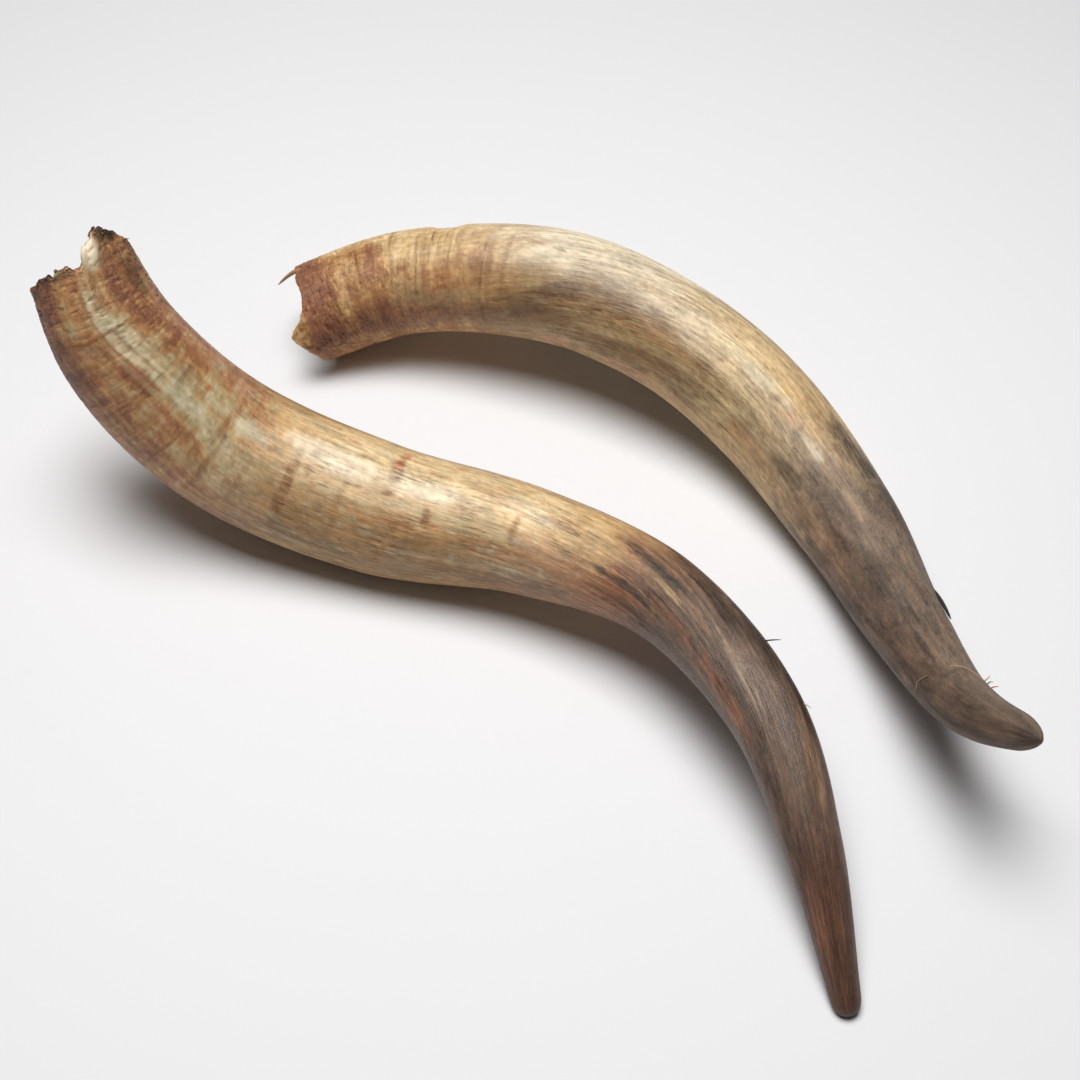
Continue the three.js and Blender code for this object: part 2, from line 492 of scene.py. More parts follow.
# Heights in millimetres of the swells, growth rings, scales, flakes, grooves and crumbled rim, and how
# far from the base the rings and the scales and flakes reach.
RELIEF = {
    "front_horn": {
        "Swell": 1.0, "Ring Height": 0.6, "Ring Reach": 230.0, "Scale Height": 0.7, "Scale Reach": 150.0,
        "Flake Height": 0.9, "Groove Depth": 0.22, "Crust Height": 1.6,
    },
    "back_horn": {
        "Swell": 0.9, "Ring Height": 0.55, "Ring Reach": 200.0, "Scale Height": 0.6, "Scale Reach": 150.0,
        "Flake Height": 1.3, "Groove Depth": 0.2, "Crust Height": 0.25,
    },
}

# From the base to here the rings, scales and flakes are at their full height, in millimetres, and so far
# from the rim its crust begins and is full.
FULL_RINGS = 20.0
FULL_SCALES = 10.0
CRUST_SHOWS = Show(10.0, 1.0)

# Single dents and steps: height in millimetres, then as a mark.
DENTS = {
    "front_horn": (
        Mark(-1.4, 10, 2, 11, 16, ragged=0.3),
        Mark(-0.4, 58, 40, 1.8, 58, ragged=0.3),
        Mark(-0.12, 106, 10, 2.2, 40, ragged=0.8),
        Mark(-0.12, 155, 55, 2.6, 60, ragged=0.8),
        Mark(-0.3, 213, 52, 2.6, 50, ragged=0.5),
        Mark(-0.5, 458, 80, 30, 2.2, ragged=0.1),
    ),
    "back_horn": (
        Mark(-0.3, 42, 36, 1.6, 40, ragged=0.4),
        Mark(-0.2, 84, 15, 1.8, 70, ragged=0.5),
        Mark(-0.25, 103, 40, 1.8, 70, ragged=0.5),
        Mark(-0.4, 150, 40, 2, 70, ragged=0.4),
        Mark(-0.3, 165, 20, 2, 60, ragged=0.4),
        Mark(1.7, 118, -44, 13, 34, ragged=0.2),
        Mark(-0.8, 672, 0, 54, 150, ragged=0.1),
        Mark(0.8, 549, -66, 17, 13, ragged=0.2),
    ),
}


def geometry_tree(name, sizes):
    """A new tree with a geometry input and output and one named input for each size."""
    tree = bpy.data.node_groups.new(name, "GeometryNodeTree")
    tree.interface.new_socket("Piece", in_out="INPUT", socket_type="NodeSocketGeometry")
    tree.interface.new_socket("Finish", in_out="INPUT", socket_type="NodeSocketMaterial")
    for size, value in sizes.items():
        kind = "NodeSocketInt" if isinstance(value, int) else "NodeSocketFloat"
        tree.interface.new_socket(size, in_out="INPUT", socket_type=kind)
    tree.interface.new_socket("Piece", in_out="OUTPUT", socket_type="NodeSocketGeometry")
    source = tree.nodes.new("NodeGroupInput").outputs
    return tree, Graph(tree), {socket.name: socket for socket in source if socket.name}


def finish_tree(graph, geometry, finish):
    """Ends a tree: instances made real, in the finish given."""
    realized = graph.add("GeometryNodeRealizeInstances", {0: geometry})
    dressed = graph.add("GeometryNodeSetMaterial", {"Geometry": realized, "Material": finish})
    end = graph.tree.nodes.new("NodeGroupOutput")
    graph.tree.links.new(dressed, end.inputs[0])


def baked(piece, tree, finish, sizes):
    """Runs a tree on a piece and leaves the result as the piece's plain mesh."""
    modifier = piece.modifiers.new(tree.name, "NODES")
    modifier.node_group = tree
    values = {**sizes, "Finish": finish}
    for socket in tree.interface.items_tree:
        if socket.in_out == "INPUT" and socket.name in values:
            modifier[socket.identifier] = values[socket.name]
    evaluated = piece.evaluated_get(bpy.context.evaluated_depsgraph_get())
    mesh = bpy.data.meshes.new_from_object(evaluated)
    piece.modifiers.clear()
    piece.data = mesh
    return piece


def relief_tree(horn, sizes):
    """Raises the outside of a sheath and stores its wear and its tone."""
    node = horn.facts["node"]
    tree, g, given = geometry_tree(node + "_relief", sizes)
    place = Place(g, horn)
    heights = []

    def raise_by(noise, size, fade=None):
        height = g.math("MULTIPLY", g.centred(noise), given[size])
        heights.append(height if fade is None else g.math("MULTIPLY", height, fade))

    ringed = g.step(place.s, given["Ring Reach"], FULL_RINGS)
    scaly = g.step(place.s, given["Scale Reach"], FULL_SCALES)
    raise_by(place.noise(SWELLS), "Swell")
    raise_by(place.noise(RINGS), "Ring Height", ringed)
    raise_by(place.noise(LINES), "Scale Height", scaly)
    raise_by(place.noise(SCALES), "Scale Height", scaly)
    raise_by(place.flakes, "Flake Height", scaly)
    raise_by(place.noise(GROOVES), "Groove Depth")
    raise_by(place.noise(CRUST), "Crust Height", g.shows(place.from_rim, CRUST_SHOWS))
    for dent in DENTS[node]:
        heights.append(place.mask(dent, dent.tone))

    total = heights[0]
    for height in heights[1:]:
        total = g.math("ADD", total, height)
    outside = g.math("SUBTRACT", 1.0, place.layer)
    lift = g.math("MULTIPLY", g.math("MULTIPLY", total, outside), MM)
    offset = g.scaled(g.add("GeometryNodeInputNormal", {}), lift)
    raised = g.add("GeometryNodeSetPosition", {"Geometry": given["Piece"], "Offset": offset})
    at = g.split(g.add("GeometryNodeInputPosition", {}))
    above_floor = g.add("ShaderNodeCombineXYZ", {0: at[0], 1: at[1], 2: g.math("MAXIMUM", at[2], 0.0)})
    rested = g.add("GeometryNodeSetPosition", {"Geometry": raised, "Position": above_floor})

    look = LOOKS[node]
    fibre = along(g, place.s, look["fibre"])
    scored = place.mask(look["lines"], 1.0)
    gritty = along(g, place.s, look["grit"])
    wear = g.add("ShaderNodeCombineXYZ", {0: fibre, 1: scored, 2: gritty})
    worn = g.store(rested, "wear", wear, "FLOAT_VECTOR")
    toned = g.store(worn, "tone", tone_of(g, place, horn, fibre), "FLOAT_COLOR")
    finish_tree(g, toned, given["Finish"])
    return tree


# Finishes

def srgb(red, green, blue):
    """A linear colour from 8-bit display values."""
    def linear(value):
        value /= 255
        return value / 12.92 if value <= 0.04045 else ((value + 0.055) / 1.055) ** 2.4
    return (linear(red), linear(green), linear(blue), 1.0)


BARK = srgb(60, 46, 37)
UMBER = srgb(90, 60, 46)
SIENNA = srgb(122, 80, 60)
RUST = srgb(148, 99, 71)
GOLD = srgb(178, 130, 84)
CLAY = srgb(168, 128, 96)
STRAW = srgb(210, 174, 122)
CREAM = srgb(230, 200, 152)
IVORY = srgb(240, 223, 192)
STONE = srgb(172, 147, 117)
OLIVE = srgb(184, 164, 122)
MIST = srgb(210, 197, 164)
TAUPE = srgb(124, 106, 91)
SMOKE = srgb(110, 88, 73)
DUN = srgb(158, 125, 84)
SLATE = srgb(80, 69, 62)
SOOT = srgb(52, 44, 39)
LINE = srgb(110, 72, 43)
FIBRE = srgb(126, 80, 42)
BLOOD = srgb(190, 96, 72)
ROSE = srgb(208, 156, 130)
HOLLOW_TONE = srgb(92, 70, 52)
STAIN = (0.46, 0.33, 0.22, 1.0)
LUMINANCE = (0.21, 0.72, 0.07)

# How a horn is coloured. The crest is the angle of its upper side, and how far from there that side begins
# to end and has ended. Tones run from the base to the tip, with darker and paler ones for its bands and
# clouds. The base has tones of its own from dark to pale, shares for its blocks and stripes, and marks
# that darken or pale it; it begins to show at the first length and shows in full at the second. Fibre,
# grit, mottling and roughness are shares along the horn, and the lines are where growth lines score it.
LOOKS = {
    "front_horn": {
        "crest": (-2.0, 16.0, 62.0),
        "upper": ((0, RUST), (85, RUST), (130, CLAY), (185, STRAW), (235, CREAM), (375, CREAM),
                  (425, STRAW), (452, CLAY), (485, SMOKE), (610, SMOKE), (665, UMBER), (740, UMBER)),
        "lower": ((0, RUST), (90, RUST), (150, CLAY), (230, DUN), (330, DUN), (400, CLAY), (445, RUST),
                  (480, SMOKE), (600, SMOKE), (660, UMBER), (740, UMBER)),
        "dark": ((0, UMBER), (150, RUST), (230, GOLD), (400, GOLD), (455, UMBER), (480, SOOT), (740, BARK)),
        "pale": ((0, GOLD), (120, OLIVE), (200, MIST), (400, MIST), (450, GOLD), (500, TAUPE), (740, RUST)),
        "base": ((0.0, UMBER), (0.2, SIENNA), (0.36, RUST), (0.54, GOLD), (0.74, OLIVE), (1.0, MIST)),
        "base_end": (235.0, 120.0),
        "base_bands": (0.18, 0.2),
        "base_marks": (
            Mark(-0.18, 55, 90, 70, 38, ragged=0.3),
            Mark(-0.1, 24, 62, 18, 20, ragged=0.3),
            Mark(-0.08, 66, -40, 62, 24, ragged=0.3),
            Mark(-0.06, 30, -6, 15, 15),
            Mark(-0.16, 85, 40, 9, 15, ragged=0.3),
            Mark(-0.12, 86, -3, 10, 10, ragged=0.3),
            Mark(0.18, 76, 22, 66, 22),
            Mark(0.08, 50, 46, 40, 12),
            Mark(0.18, 145, 22, 50, 40),
            Mark(0.12, 180, 62, 60, 30),
        ),
        "fibre": ((0, 0.05), (120, 0.1), (210, 1.0), (430, 1.0), (520, 1.0), (740, 0.95)),
        "grit": ((0, 0.75), (60, 0.5), (150, 0.2), (420, 0.12), (520, 0.2), (740, 0.3)),
        "lines": Mark(1.0, 80, 96, 70, 60, ragged=0.5),
        "mottle": ((0, 0.3), (150, 0.35), (430, 0.45), (520, 1.0), (740, 0.9)),
        "rough": ((0, 0.6), (150, 0.46), (420, 0.45), (520, 0.36), (740, 0.4)),
        "rim": UMBER,
        "marks": (
            Mark(GOLD, 40, 42, 26, 9, 0.6, 0.6, 0.1),
            Mark(MIST, 66, 27, 52, 4, 0.65, 0.4),
            Mark(MIST, 70, 17, 44, 3, 0.5, 0.4),
            Mark(OLIVE, 84, 38, 46, 3.5, 0.55, 0.5),
            Mark(RUST, 72, 33, 40, 2.2, 0.5, 0.4),
            Mark(RUST, 74, 21.5, 36, 1.8, 0.5, 0.4),
            Mark(RUST, 82, 8, 44, 2.6, 0.55, 0.5),
            Mark(MIST, 120, 31, 24, 6, 0.6, 0.5, 0.1),
            Mark(OLIVE, 96, 13, 30, 4, 0.6, 0.6, 0.2),
            Mark(RUST, 87, 36, 8, 10, 0.6, 0.35),
            Mark(RUST, 36, 12, 15, 5, 0.5, 0.4, 0.2),
            Mark(MIST, 66, 12, 7.5, 11, 0.5, 0.35),
            Mark(OLIVE, 150, 48, 30, 7, 0.5, 0.7, 0.2),
            # Painted highlight: a pale spot of sheen on the crest.
            Mark(MIST, 172, 18, 20, 11, 0.75, 0.6, 0.1),
            Mark(OLIVE, 200, 42, 34, 10, 0.5, 0.7, 0.3),
            Mark(OLIVE, 330, 38, 40, 9, 0.5, 0.7, 0.3),
            # Along the crest these are partly the horn's own cream and partly painted highlight, a band of
            # sheen.
            Mark(IVORY, 236, 10, 44, 15, 0.85, 0.6, 0.2),
            Mark(IVORY, 302, 12, 46, 15, 0.85, 0.6, 0.3),
            Mark(IVORY, 376, 9, 40, 12, 0.6, 0.6, 0.4),
            Mark(ROSE, 100, -36, 74, 22, 0.32, 0.8),
            Mark(UMBER, 34, -36, 18, 14, 0.6, 0.6),
            Mark(ROSE, 151, -13, 12, 9, 0.6, 0.7),
            Mark(MIST, 53.5, 16, 2.4, 20, 0.55, 0.3),
            Mark(FIBRE, 57, 38, 1.5, 52, 0.8, 0.3),
            Mark(RUST, 63, 60, 4.5, 50, 0.45, 0.6),
            Mark(LINE, 76, 64, 1.2, 44, 0.4, 0.6),
            Mark(LINE, 93, 40, 1.2, 30, 0.45, 0.6),
            Mark(FIBRE, 104, 4, 2.6, 22, 0.5, 1, 0.2),
            Mark(LINE, 128, 80, 1.6, 46, 0.5, 0.6),
            Mark(FIBRE, 150, 26, 4, 22, 0.55, 1.1, 0.4),
            Mark(FIBRE, 157, 66, 4.2, 36, 0.6, 1.1, 0.4),
            Mark(FIBRE, 182, 54, 3, 30, 0.45, 0.8, 0.5),
            Mark(FIBRE, 212, 46, 5, 42, 0.75, 0.8, 0.6),
            Mark(FIBRE, 224, 20, 6, 16, 0.6, 0.8, 0.8),
            Mark(FIBRE, 250, 44, 4, 26, 0.45, 0.8, 0.7),
            Mark(FIBRE, 281, 6, 6.5, 30, 0.85, 0.8, 0.7),
            Mark(FIBRE, 292, 47, 14, 3, 0.75, 0.5, 0.1),
            Mark(FIBRE, 311, 37, 3.5, 11, 0.8, 0.6, 0.2),
            Mark(OLIVE, 352, 33, 6, 11, 0.7, 0.5, 0.2),
            Mark(FIBRE, 369, 30, 4, 18, 0.8, 0.7, 0.4),
            Mark(FIBRE, 400, 10, 18, 12, 0.5, 0.9, 0.9),
            Mark(FIBRE, 345, -4, 24, 10, 0.45, 0.9, 0.9),
            Mark(BLOOD, 100, -8, 2.4, 2.8, 0.6, 0.8),
            Mark(BLOOD, 123, 8, 3, 3.4, 0.65, 0.8),
            Mark(BLOOD, 279, -7, 7, 8, 0.45, 0.9, 0.4),
            Mark(BLOOD, 281, -22, 6, 7, 0.45, 0.9, 0.4),
            Mark(BLOOD, 321, -27, 6, 4, 0.45, 0.9, 0.4),
            Mark(BLOOD, 245, -16, 5, 4, 0.35, 0.9, 0.4),
            Mark(UMBER, 375, 96, 70, 20, 0.4, 0.9, 0.4),
            Mark(SOOT, 464, 2, 38, 8, 0.75, 0.9, 0.6),
            Mark(SOOT, 482, 12, 30, 7, 0.7, 0.9, 0.6),
            Mark(SOOT, 480, -34, 34, 18, 0.7, 0.9, 0.6),
            Mark(SOOT, 457, 48, 38, 6, 0.85, 0.9, 0.5),
            Mark(BARK, 470, 36, 40, 8, 0.5, 0.9, 0.7),
            Mark(SOOT, 506, -14, 30, 10, 0.6, 0.9, 0.6),
            Mark(SOOT, 540, -28, 50, 18, 0.5, 0.9, 0.6),
            Mark(SOOT, 590, -50, 46, 18, 0.5, 0.9, 0.5),
            Mark(SOOT, 526, -42, 36, 12, 0.6, 0.9, 0.3),
            Mark(SOOT, 568, -46, 30, 11, 0.6, 0.9, 0.3),
            Mark(SOOT, 458, 80, 34, 1.3, 0.8, 0.3),
            Mark(BARK, 540, 40, 70, 16, 0.5, 0.9, 0.6),
            Mark(STRAW, 478, 20, 20, 5, 0.6, 0.9, 0.4),
            Mark(CLAY, 500, 18, 24, 7, 0.5, 0.9, 0.5),
            Mark(RUST, 555, 60, 46, 15, 0.75, 0.9, 0.4),
            Mark(RUST, 495, 46, 26, 8, 0.5, 0.9, 0.4),
            Mark(CLAY, 604, -28, 34, 20, 0.6, 0.8, 0.5),
            # On the crest of the dark tip these pale grey streaks are partly pale streaks of the horn and
            # partly painted sheen.
            Mark(TAUPE, 560, 24, 52, 9, 0.75, 0.8, 0.5),
            Mark(TAUPE, 606, 8, 34, 13, 0.5, 0.9, 0.6),
            Mark(STONE, 535, 14, 44, 12, 0.35, 0.9, 0.9),
            Mark(BARK, 650, 20, 40, 60, 0.3, 0.9, 0.4),
            Mark(RUST, 688, 44, 30, 26, 0.4, 0.9, 0.4),
            Mark(BARK, 716, -10, 30, 60, 0.35, 0.8, 0.3),
            Mark(BARK, 17, 54, 3.6, 40, 0.75, 0.9),
            Mark(BARK, 4, -30, 8, 24, 0.95, 0.6),
            Mark(IVORY, 10, 2, 12, 15, 0.95, 0.4),
        ),
    },
    "back_horn": {
        "crest": (-22.0, 30.0, 66.0),
        "upper": ((0, RUST), (58, RUST), (88, STRAW), (120, CREAM), (185, IVORY), (250, IVORY),
                  (320, CREAM), (385, STRAW), (425, STONE), (465, TAUPE), (720, TAUPE)),
        "lower": ((0, RUST), (90, DUN), (290, DUN), (340, OLIVE), (420, STONE), (475, SMOKE), (720, SMOKE)),
        "dark": ((0, UMBER), (100, RUST), (200, SMOKE), (370, UMBER), (420, SOOT), (640, SOOT),
                 (720, SLATE)),
        "pale": ((0, GOLD), (90, STRAW), (200, MIST), (400, STONE), (600, CLAY), (720, TAUPE)),
        "base": ((0.04, UMBER), (0.16, SIENNA), (0.32, RUST), (0.5, GOLD), (0.68, STRAW), (0.9, CREAM)),
        "base_end": (200.0, 100.0),
        "base_bands": (0.16, 0.07),
        "base_marks": (
            Mark(-0.18, 28, 30, 14, 130),
            Mark(-0.12, 74, 6, 9, 36, ragged=0.4),
            Mark(0.2, 60, -32, 40, 26),
            Mark(0.26, 112, -10, 50, 54, ragged=0.4),
            Mark(-0.17, 80, 78, 76, 28, ragged=0.2),
        ),
        "fibre": ((0, 0.05), (120, 0.15), (220, 1.0), (390, 0.9), (460, 0.4), (720, 0.35)),
        "grit": ((0, 0.75), (60, 0.5), (150, 0.2), (390, 0.15), (460, 0.55), (720, 0.6)),
        "lines": Mark(1.0, 70, 20, 110, 130, ragged=0.4),
        "mottle": ((0, 0.3), (150, 0.35), (390, 0.5), (460, 1.0), (720, 0.9)),
        "rough": ((0, 0.58), (150, 0.45), (390, 0.45), (460, 0.58), (720, 0.62)),
        "rim": STRAW,
        "marks": (
            Mark(OLIVE, 95, 60, 20, 18, 0.5, 0.7, 0.1),
            Mark(RUST, 74, 2, 7.2, 18, 0.6, 0.2),
            Mark(CREAM, 195, 102, 55, 24, 0.35, 0.5, 0.3),
            Mark(CREAM, 385, 104, 60, 24, 0.35, 0.5, 0.3),
            Mark(STONE, 245, 10, 45, 15, 0.4, 0.6, 0.5),
            Mark(LINE, 42, 36, 1.4, 40, 0.5, 0.6),
            Mark(FIBRE, 62, 20, 1.4, 60, 0.4, 0.7),
            Mark(FIBRE, 85, 20, 1.6, 66, 0.45, 0.7),
            Mark(FIBRE, 103, 40, 1.7, 66, 0.5, 0.7),
            Mark(RUST, 109, 30, 4, 50, 0.35, 0.7, 0.2),
            Mark(LINE, 114, -4, 1.3, 16, 0.6, 0.5),
            Mark(FIBRE, 126, 10, 1.5, 50, 0.35, 0.7),
            Mark(LINE, 150, 52, 1.6, 60, 0.6, 0.6, 0.1),
            Mark(FIBRE, 154, 30, 4, 44, 0.45, 0.8, 0.4),
            Mark(LINE, 166, 22, 2.2, 50, 0.5, 0.7, 0.3),
            Mark(FIBRE, 132, 0, 3, 30, 0.4, 0.7, 0.3),
            Mark(RUST, 140, -4, 16, 9, 0.4, 0.9, 0.4),
            Mark(STONE, 250, 13, 80, 14, 0.6, 0.9, 0.5),
            Mark(FIBRE, 183, 3, 8, 2.5, 0.7, 0.7, 0.2),
            Mark(SLATE, 240, 24, 9, 4, 0.55, 0.9, 0.3),
            Mark(TAUPE, 150, 90, 70, 14, 0.3, 0.9, 0.3),
            Mark(OLIVE, 130, 70, 40, 12, 0.45, 0.8, 0.3),
            Mark(SMOKE, 200, 64, 60, 20, 0.55, 0.9, 0.5),
            Mark(OLIVE, 255, 66, 50, 12, 0.4, 0.8, 0.5),
            Mark(OLIVE, 330, 52, 50, 14, 0.4, 0.8, 0.5),
            Mark(SMOKE, 225, 44, 60, 9, 0.55, 0.9, 0.6),
            Mark(STRAW, 310, 106, 150, 26, 0.9, 0.8, 0.3),
            Mark(ROSE, 205, 108, 18, 9, 0.75, 0.8, 0.2),
            Mark(ROSE, 268, 104, 28, 8, 0.65, 0.9, 0.3),
            # Along the upper side these pale marks are partly the horn's own cream and partly painted
            # highlight, the band of sheen on it.
            Mark(IVORY, 215, 16, 38, 8, 0.35, 0.8, 0.5),
            Mark(IVORY, 275, 14, 46, 8, 0.3, 0.8, 0.5),
            Mark(IVORY, 225, -30, 90, 24, 0.75, 0.8, 0.3),
            Mark(MIST, 345, 10, 44, 11, 0.7, 0.9, 0.4),
            Mark(FIBRE, 325, 47, 64, 9, 0.6, 0.9, 0.7),
            Mark(GOLD, 378, 66, 44, 14, 0.5, 0.9, 0.5),
            Mark(SMOKE, 300, 66, 30, 10, 0.5, 0.9, 0.6),
            Mark(ROSE, 387, 14, 6.5, 4, 0.5, 0.8, 0.1),
            # Partly pale horn and partly a painted highlight spot on the crest.
            Mark(IVORY, 412, 13, 12, 6, 0.6, 0.9, 0.2),
            Mark(SOOT, 428, -30, 36, 22, 0.8, 0.9, 0.5),
            Mark(SOOT, 470, -46, 40, 16, 0.6, 0.9, 0.5),
            Mark(SOOT, 416, 50, 24, 15, 0.65, 0.9, 0.4),
            Mark(SLATE, 448, 30, 30, 22, 0.5, 0.9, 0.3),
            Mark(STONE, 466, 8, 22, 9, 0.5, 0.9, 0.3),
            Mark(CLAY, 470, 62, 40, 14, 0.3, 0.9, 0.3),
            Mark(SLATE, 535, 30, 50, 40, 0.5, 0.9, 0.2),
            Mark(SOOT, 592, 24, 24, 7, 0.7, 0.9, 0.2),
            Mark(SOOT, 566, 10, 20, 5, 0.6, 0.9, 0.2),
            Mark(SLATE, 650, 40, 50, 60, 0.25, 0.9, 0.2),
            # Painted shadow: a thin dark line under the peeled step and the loose fibre lying across it.
            Mark(SOOT, 626, 6, 1.8, 46, 0.4, 0.6),
            Mark(SOOT, 549, -66, 17, 12, 0.9, 0.3),
            Mark(SOOT, 714, 60, 12, 80, 0.5, 0.6),
        ),
    },
}


def along(g, s, stops):
    """A share that changes along the horn."""
    longest = stops[-1][0]
    grey = [(at / longest, (share, share, share, 1.0)) for at, share in stops]
    return g.split(g.ramp(g.math("DIVIDE", s, longest), grey))[0]


# How much the base's blots pale it, and how much its flakes pale it: partly their own paler tone and partly
# painted glints on the raised flakes.
BLOT_PALING = 0.25
FLAKE_PALING_AND_GLINT = 0.12

# How far the tones drift along the horn in millimetres and round it in degrees.
DRIFT_ALONG = 80.0
DRIFT_ROUND = 60.0

# Where bands and clouds take the darker and the paler tone. Bands are weaker, and streaks and patches
# stronger, where the horn is more mottled: the shares are for no mottling and for full mottling.
BANDS_DARK = Show(0.5, 0.7)
BANDS_PALE = Show(0.48, 0.3)
CLOUDS_DARK = Show(0.52, 0.68, 0.6)
CLOUDS_PALE = Show(0.47, 0.32, 0.5)
BAND_SHARES = (0.62, 0.2)
STREAK_SHARES = (0.8, 1.9)
# Patches are stronger on the lower side than on the upper one.
PATCH_SHARES = (2.2, 3.4)
CLOUD_SHADE = 0.8
BLOT_SHADE = 0.8

# The layers where the rim's tone and the hollow's tone begin and are full.
RIM_SHOWS = Show(0.2, 0.5)
HOLLOW_SHOWS = Show(0.6, 0.9)


def base_tone(g, place, look, blot):
    """The base's tone: blocks between growth rings and stripes of the grain, dark and pale by turns."""
    block_share, stripe_share = look["base_bands"]
    even = 0.5 - (block_share + stripe_share) / 2
    striped = g.shows(place.noise(BASE_STRIPES), STREAKS_SHOW)
    blocked = g.shows(place.noise(BASE_BLOCKS), BLOCKS_SHOW)
    pale = g.math("MULTIPLY_ADD", striped, stripe_share, even)
    pale = g.math("MULTIPLY_ADD", blocked, block_share, pale)
    pale = g.math("MULTIPLY_ADD", g.centred(blot), BLOT_PALING, pale)
    # The flakes are paled: partly their own tone, partly painted glints on them.
    pale = g.math("MULTIPLY_ADD", place.flakes, FLAKE_PALING_AND_GLINT, pale)
    for mark in look["base_marks"]:
        pale = g.math("ADD", pale, place.mask(mark, mark.tone))
    return g.ramp(pale, look["base"])


def tone_of(g, place, horn, fibre):
    """The colour of the sheath without its fine grain: tones along it, clouds, and its marks in turn."""
    look = LOOKS[horn.facts["node"]]
    drift = g.centred(place.noise(DRIFT))
    moved = g.math("MULTIPLY_ADD", drift, DRIFT_ALONG, place.s)
    share = g.math("DIVIDE", moved, horn.length)
    upper, lower, dark, pale = (
        g.ramp(share, [(at / horn.length, tone) for at, tone in look[name]])
        for name in ("upper", "lower", "dark", "pale")
    )
    crest, crest_end, flank = look["crest"]
    turned = g.math("ABSOLUTE", g.math("SUBTRACT", place.angle, crest))
    turned = g.math("MULTIPLY_ADD", drift, DRIFT_ROUND, turned)
    below = g.step(turned, crest_end, flank)
    colour = g.mix(below, upper, lower)

    band = place.noise(BANDS)
    cloud = place.noise(CLOUDS)
    blot = place.noise(BLOTS)
    mottled = along(g, place.s, look["mottle"])
    banded = g.math("MULTIPLY", fibre, g.spread(mottled, 0.0, 1.0, *BAND_SHARES))
    colour = g.mix(g.shows(band, BANDS_DARK, banded), colour, dark)
    colour = g.mix(g.shows(band, BANDS_PALE, banded), colour, pale)
    colour = g.mix(g.shows(cloud, CLOUDS_DARK), colour, dark)
    colour = g.mix(g.shows(cloud, CLOUDS_PALE), colour, pale)
    colour = g.mix(g.step(moved, *look["base_end"]), colour, base_tone(g, place, look, blot))
    colour = g.mix(g.shows(place.layer, RIM_SHOWS), colour, look["rim"])
    for mark in look["marks"]:
        colour = g.mix(place.mask(mark, mark.strength), colour, mark.tone)

    streaked = g.math("MULTIPLY", fibre, g.spread(mottled, 0.0, 1.0, *STREAK_SHARES))
    patched = g.math("MULTIPLY", mottled, g.spread(below, 0.0, 1.0, *PATCH_SHARES))
    shade = g.math("MULTIPLY_ADD", g.centred(place.noise(SHADE_STREAKS)), streaked, 1.0)
    shade = g.math("MULTIPLY_ADD", g.centred(place.noise(PATCHES)), patched, shade)
    shade = g.math("MULTIPLY_ADD", g.centred(cloud), CLOUD_SHADE, shade)
    shade = g.math("MULTIPLY_ADD", g.centred(blot), BLOT_SHADE, shade)
    return g.mix(g.shows(place.layer, HOLLOW_SHOWS), g.scaled(colour, shade), HOLLOW_TONE)


# The fine grain: where its noises stain the tone, light it up or glint. Grit lies where the tone, by its
# brightness, is rusty. Patches hold the fibres and growth lines back, from the third share to the fourth.
RUSTY = Show(0.42, 0.18)
FIBRE_HOLD = (0.4, 0.62, 0.1, 0.9)
LINE_HOLD = (0.4, 0.6, 0.1, 0.6)
STREAK_STAIN = Show(0.53, 0.66)
STREAK_LIGHT = Show(0.47, 0.33, 0.55)
STREAK_BRIGHTENING = 1.5
DASH_STAIN = Show(0.54, 0.66, 0.7)
LINE_STAIN = Show(0.5, 0.68)
GRIT_STAIN = Show(0.5, 0.66, 0.55)
GRIT_GLINT = Show(0.42, 0.3, 0.45)
CRACK_STAIN = Show(0.022, 0.004, 0.8)

# The fine grain to the touch, and the sheen of horn.
STREAK_HEIGHT = 0.7
DASH_HEIGHT = 0.5
GRAIN_STRENGTH = 0.9
GRAIN_HEIGHT = 0.7 * MM
STREAK_ROUGHNESS = 0.3
HORN_SHEEN = 0.4
STRAND_ROUGHNESS = 0.6


